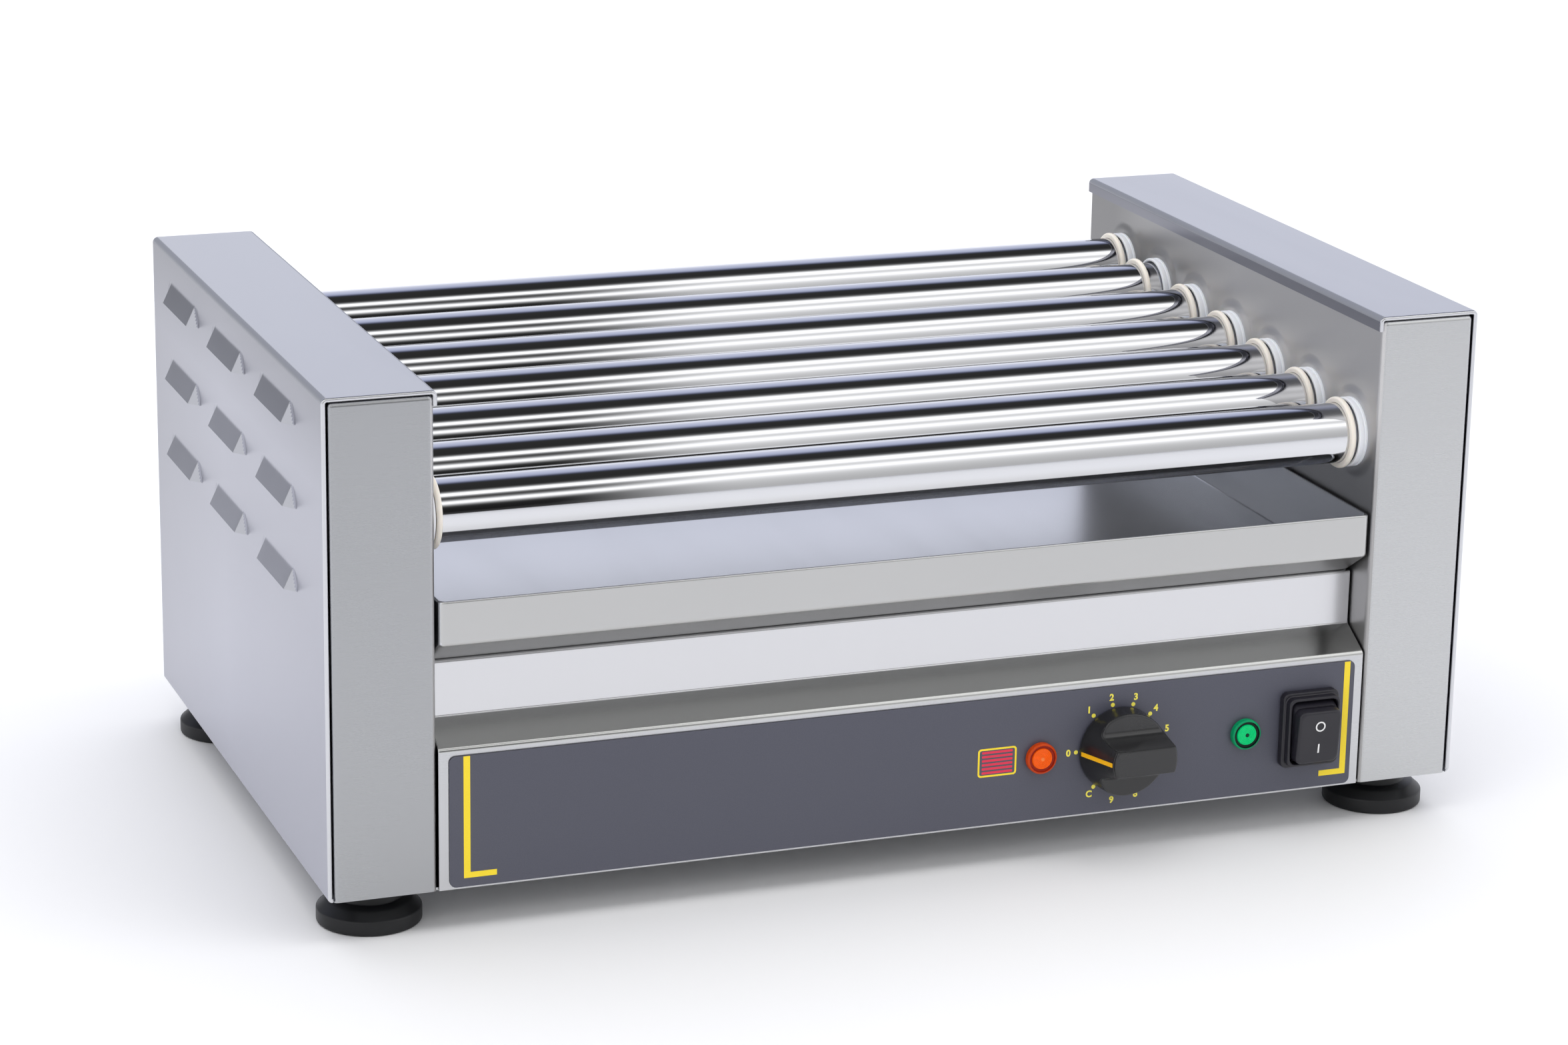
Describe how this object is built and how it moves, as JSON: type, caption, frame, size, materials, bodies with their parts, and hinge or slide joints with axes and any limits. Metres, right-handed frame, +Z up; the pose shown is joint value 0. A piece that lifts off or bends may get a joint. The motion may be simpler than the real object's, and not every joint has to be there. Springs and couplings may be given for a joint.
{
  "type": "hot dog roller grill",
  "caption": "Counter-top hot dog roller grill: chain-driven heated chrome rollers between stainless side housings, with a slide-out drip tray and a front control console.",
  "frame": {"origin": "on the table, under the middle of the machine's bounding box", "axes": "+X along the rollers to the right as seen from the front, -Y to the front, +Z up"},
  "size_m": [0.554, 0.3692, 0.2444],
  "materials": {
    "stainless_panel": "brushed stainless steel, satin, grain along the long side",
    "stainless_cover": "fine brushed stainless steel, cool grey",
    "roller_chrome": "hard chrome, mirror polished",
    "tray_stainless": "bright rolled stainless steel",
    "faceplate_print": "dark slate printed faceplate, fine matt",
    "print_yellow": "yellow print",
    "print_red": "red print",
    "print_white": "white print",
    "knob_plastic": "black moulded phenolic, semi matt",
    "black_plastic": "black moulded plastic",
    "boot_rubber": "black silicone rubber, satin",
    "foot_rubber": "charcoal rubber, matt",
    "ptfe_bush": "white PTFE, smooth",
    "silicone_ring": "cream silicone rubber",
    "amber_lens": "amber ribbed lens",
    "green_lens": "green ribbed lens",
    "drive_steel": "oiled blackened steel",
    "motor_alloy": "die-cast alloy",
    "heater_sheath": "oxidised heating element sheath"
  },
  "bodies": {
    "casing": {"base_pan": "stainless_panel", "foot_front_left": "foot_rubber", "foot_front_right": "foot_rubber", "foot_rear_left": "foot_rubber", "foot_rear_right": "foot_rubber", "left_side_frame": "stainless_panel", "right_side_frame": "stainless_panel", "left_cover": "stainless_cover", "right_cover": "stainless_cover", "front_fascia": "stainless_panel", "control_faceplate": "faceplate_print", "rear_panel": "stainless_panel", "cable_gland": "black_plastic", "energy_regulator": "black_plastic", "switch_body": "boot_rubber", "pilot_lamp_amber": "amber_lens", "pilot_lamp_green": "green_lens", "gear_motor": "motor_alloy", "drive_chain": "drive_steel", "heater_bracket_left": "stainless_panel", "heater_bracket_right": "stainless_panel", "bush_left_1": "ptfe_bush", "bush_right_1": "ptfe_bush", "bush_left_2": "ptfe_bush", "bush_right_2": "ptfe_bush", "bush_left_3": "ptfe_bush", "bush_right_3": "ptfe_bush", "bush_left_4": "ptfe_bush", "bush_right_4": "ptfe_bush", "bush_left_5": "ptfe_bush", "bush_right_5": "ptfe_bush", "bush_left_6": "ptfe_bush", "bush_right_6": "ptfe_bush", "bush_left_7": "ptfe_bush", "bush_right_7": "ptfe_bush", "heater_1": "heater_sheath", "heater_2": "heater_sheath", "heater_3": "heater_sheath", "heater_4": "heater_sheath", "heater_5": "heater_sheath", "heater_6": "heater_sheath", "heater_7": "heater_sheath"},
    "roller_unit_1": {"roller_1": "roller_chrome", "sprocket_1": "drive_steel"},
    "roller_unit_2": {"roller_2": "roller_chrome", "sprocket_2": "drive_steel"},
    "roller_unit_3": {"roller_3": "roller_chrome", "sprocket_3": "drive_steel"},
    "roller_unit_4": {"roller_4": "roller_chrome", "sprocket_4": "drive_steel"},
    "roller_unit_5": {"roller_5": "roller_chrome", "sprocket_5": "drive_steel"},
    "roller_unit_6": {"roller_6": "roller_chrome", "sprocket_6": "drive_steel"},
    "roller_unit_7": {"roller_7": "roller_chrome", "sprocket_7": "drive_steel"},
    "drive_shaft": {"drive_sprocket": "drive_steel"},
    "tray": {"drip_tray": "tray_stainless"},
    "knob": {"control_knob": "knob_plastic"},
    "rocker": {"switch_rocker": "boot_rubber"}
  },
  "joints": [
    {"name": "roller_1_spin", "type": "hinge", "parent": "casing", "child": "roller_unit_1", "pos_m": [0, -0.137, 0.185], "axis": [1, 0, 0], "continuous": true},
    {"name": "roller_2_spin", "type": "hinge", "parent": "casing", "child": "roller_unit_2", "pos_m": [0, -0.09495, 0.18888], "axis": [1, 0, 0], "continuous": true},
    {"name": "roller_3_spin", "type": "hinge", "parent": "casing", "child": "roller_unit_3", "pos_m": [0, -0.0529, 0.19276], "axis": [1, 0, 0], "continuous": true},
    {"name": "roller_4_spin", "type": "hinge", "parent": "casing", "child": "roller_unit_4", "pos_m": [0, -0.01085, 0.19664], "axis": [1, 0, 0], "continuous": true},
    {"name": "roller_5_spin", "type": "hinge", "parent": "casing", "child": "roller_unit_5", "pos_m": [0, 0.0312, 0.20052], "axis": [1, 0, 0], "continuous": true},
    {"name": "roller_6_spin", "type": "hinge", "parent": "casing", "child": "roller_unit_6", "pos_m": [0, 0.07325, 0.2044], "axis": [1, 0, 0], "continuous": true},
    {"name": "roller_7_spin", "type": "hinge", "parent": "casing", "child": "roller_unit_7", "pos_m": [0, 0.1153, 0.20828], "axis": [1, 0, 0], "continuous": true},
    {"name": "drive_spin", "type": "hinge", "parent": "casing", "child": "drive_shaft", "pos_m": [-0.244, -0.008, 0.072], "axis": [1, 0, 0], "continuous": true},
    {"name": "tray_slide", "type": "slide", "parent": "casing", "child": "tray", "axis": [0, -1, 0], "range_m": [0, 0.3]},
    {"name": "knob_turn", "type": "hinge", "parent": "casing", "child": "knob", "pos_m": [0.0988, -0.173, 0.0513], "axis": [0, 1, 0], "range_deg": [0, 304]},
    {"name": "rocker_press", "type": "hinge", "parent": "casing", "child": "rocker", "pos_m": [0.1945, -0.163, 0.0515], "axis": [-1, 0, 0], "range_deg": [0, 11]}
  ],
  "couplings": [
    {"joint": "roller_2_spin", "follows": "roller_1_spin", "ratio": 1},
    {"joint": "roller_3_spin", "follows": "roller_1_spin", "ratio": 1},
    {"joint": "roller_4_spin", "follows": "roller_1_spin", "ratio": 1},
    {"joint": "roller_5_spin", "follows": "roller_1_spin", "ratio": 1},
    {"joint": "roller_6_spin", "follows": "roller_1_spin", "ratio": 1},
    {"joint": "roller_7_spin", "follows": "roller_1_spin", "ratio": 1},
    {"joint": "drive_spin", "follows": "roller_1_spin", "ratio": 1.1667}
  ]
}
